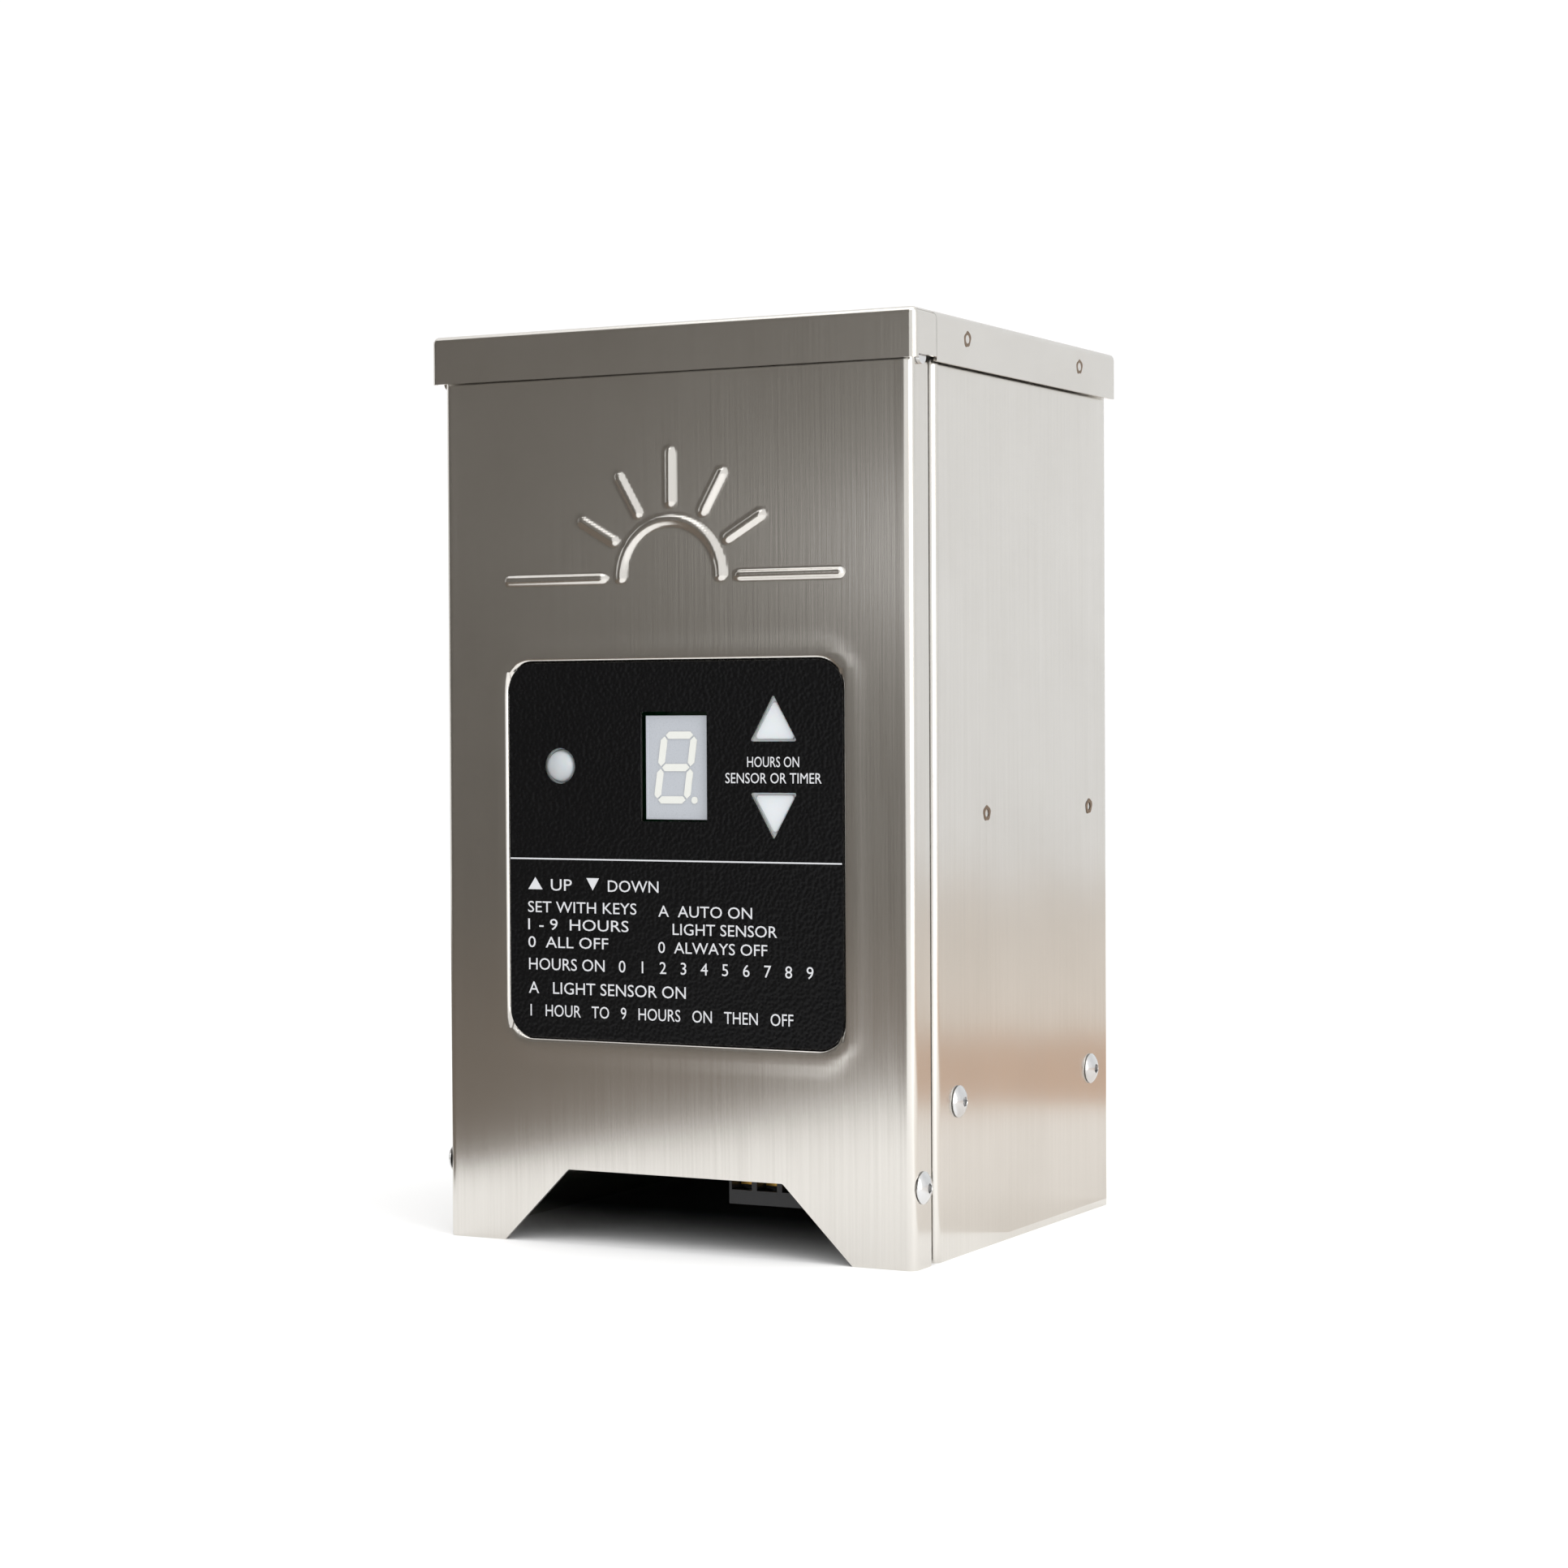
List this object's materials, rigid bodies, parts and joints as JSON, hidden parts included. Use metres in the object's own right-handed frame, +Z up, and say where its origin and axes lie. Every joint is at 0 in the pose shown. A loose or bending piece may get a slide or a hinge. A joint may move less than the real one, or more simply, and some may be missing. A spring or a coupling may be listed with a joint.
{
  "type": "landscape lighting transformer",
  "caption": "Outdoor low-voltage lighting transformer: folded stainless box with lid, swing-out cover, cable notch and a black timer panel with light sensor, digit display and push buttons.",
  "frame": {"origin": "centre of the base, on the surface the case stands on", "axes": "+Z up along the height, the timer panel faces -Y, the wall face is +Y, +X is to the right of a person facing the panel"},
  "size_m": [0.155, 0.1428, 0.261],
  "materials": {
    "brushed_stainless": "vertical brushed grain",
    "plated_steel": "zinc plated",
    "bright_fasteners": "bright",
    "black_nylon": "moulded",
    "white_nylon": "moulded",
    "core_steel": "wound strip",
    "winding_wrap": "taped winding",
    "black_rubber": "matte",
    "terminal_plastic": "moulded",
    "terminal_brass": "stamped",
    "red_plastic": "moulded",
    "black_lead": "extruded",
    "red_lead": "extruded",
    "label_black": "fine textured film",
    "frosted_white": "frosted",
    "display_grey": "moulded",
    "segment_white": "diffuser",
    "board_green": "solder mask",
    "component_black": "moulded",
    "relay_blue": "moulded",
    "capacitor_sleeve": "shrink sleeve",
    "connector_ivory": "moulded"
  },
  "bodies": {
    "case": {"case_shell": "brushed_stainless", "lid": "brushed_stainless", "lid_spacers": "brushed_stainless", "transformer_shelf": "plated_steel", "bottom_plate": "plated_steel", "housing_screws": "bright_fasteners", "housing_nuts": "bright_fasteners", "cover_spacers": "white_nylon", "pivot_pins": "bright_fasteners", "toroid_core": "core_steel", "toroid_winding": "winding_wrap", "toroid_pads": "black_rubber", "clamp_plate": "plated_steel", "toroid_bolt": "bright_fasteners", "toroid_nut": "bright_fasteners", "terminal_block": "terminal_plastic", "terminal_plates": "terminal_brass", "terminal_screws": "bright_fasteners", "breaker_body": "terminal_plastic", "breaker_nut": "bright_fasteners", "cord_bush": "black_nylon", "hole_plug": "black_nylon", "shelf_grommet": "black_rubber", "earth_stud": "bright_fasteners", "earth_nuts": "terminal_brass", "mains_leads": "black_lead", "low_voltage_leads": "red_lead"},
    "cover": {"front_cover": "brushed_stainless", "label_panel": "label_black", "sensor_lens": "frosted_white", "sensor_base": "component_black", "display_body": "display_grey", "display_segments": "segment_white", "timer_board": "board_green", "board_standoffs": "bright_fasteners", "board_screws": "bright_fasteners", "switch_bodies": "component_black", "relay": "relay_blue", "capacitor": "capacitor_sleeve", "driver_chip": "component_black", "board_connector": "connector_ivory"},
    "up_button": {"up_button": "frosted_white", "up_plunger": "component_black"},
    "down_button": {"down_button": "frosted_white", "down_plunger": "component_black"},
    "breaker_button": {"breaker_button": "red_plastic"}
  },
  "joints": [
    {"name": "cover_swing", "type": "hinge", "parent": "case", "child": "cover", "pos_m": [0, -0.0641, 0.2483], "axis": [-1, 0, 0], "range_deg": [0, 28]},
    {"name": "up_button_press", "type": "slide", "parent": "cover", "child": "up_button", "axis": [0, 1, 0], "range_m": [0, 0.0008], "stiffness_N_per_m": 300, "springref_m": -0.0008},
    {"name": "down_button_press", "type": "slide", "parent": "cover", "child": "down_button", "axis": [0, 1, 0], "range_m": [0, 0.0008], "stiffness_N_per_m": 300, "springref_m": -0.0008},
    {"name": "breaker_reset", "type": "slide", "parent": "case", "child": "breaker_button", "axis": [0, 0, -1], "range_m": [0, 0.004]}
  ]
}
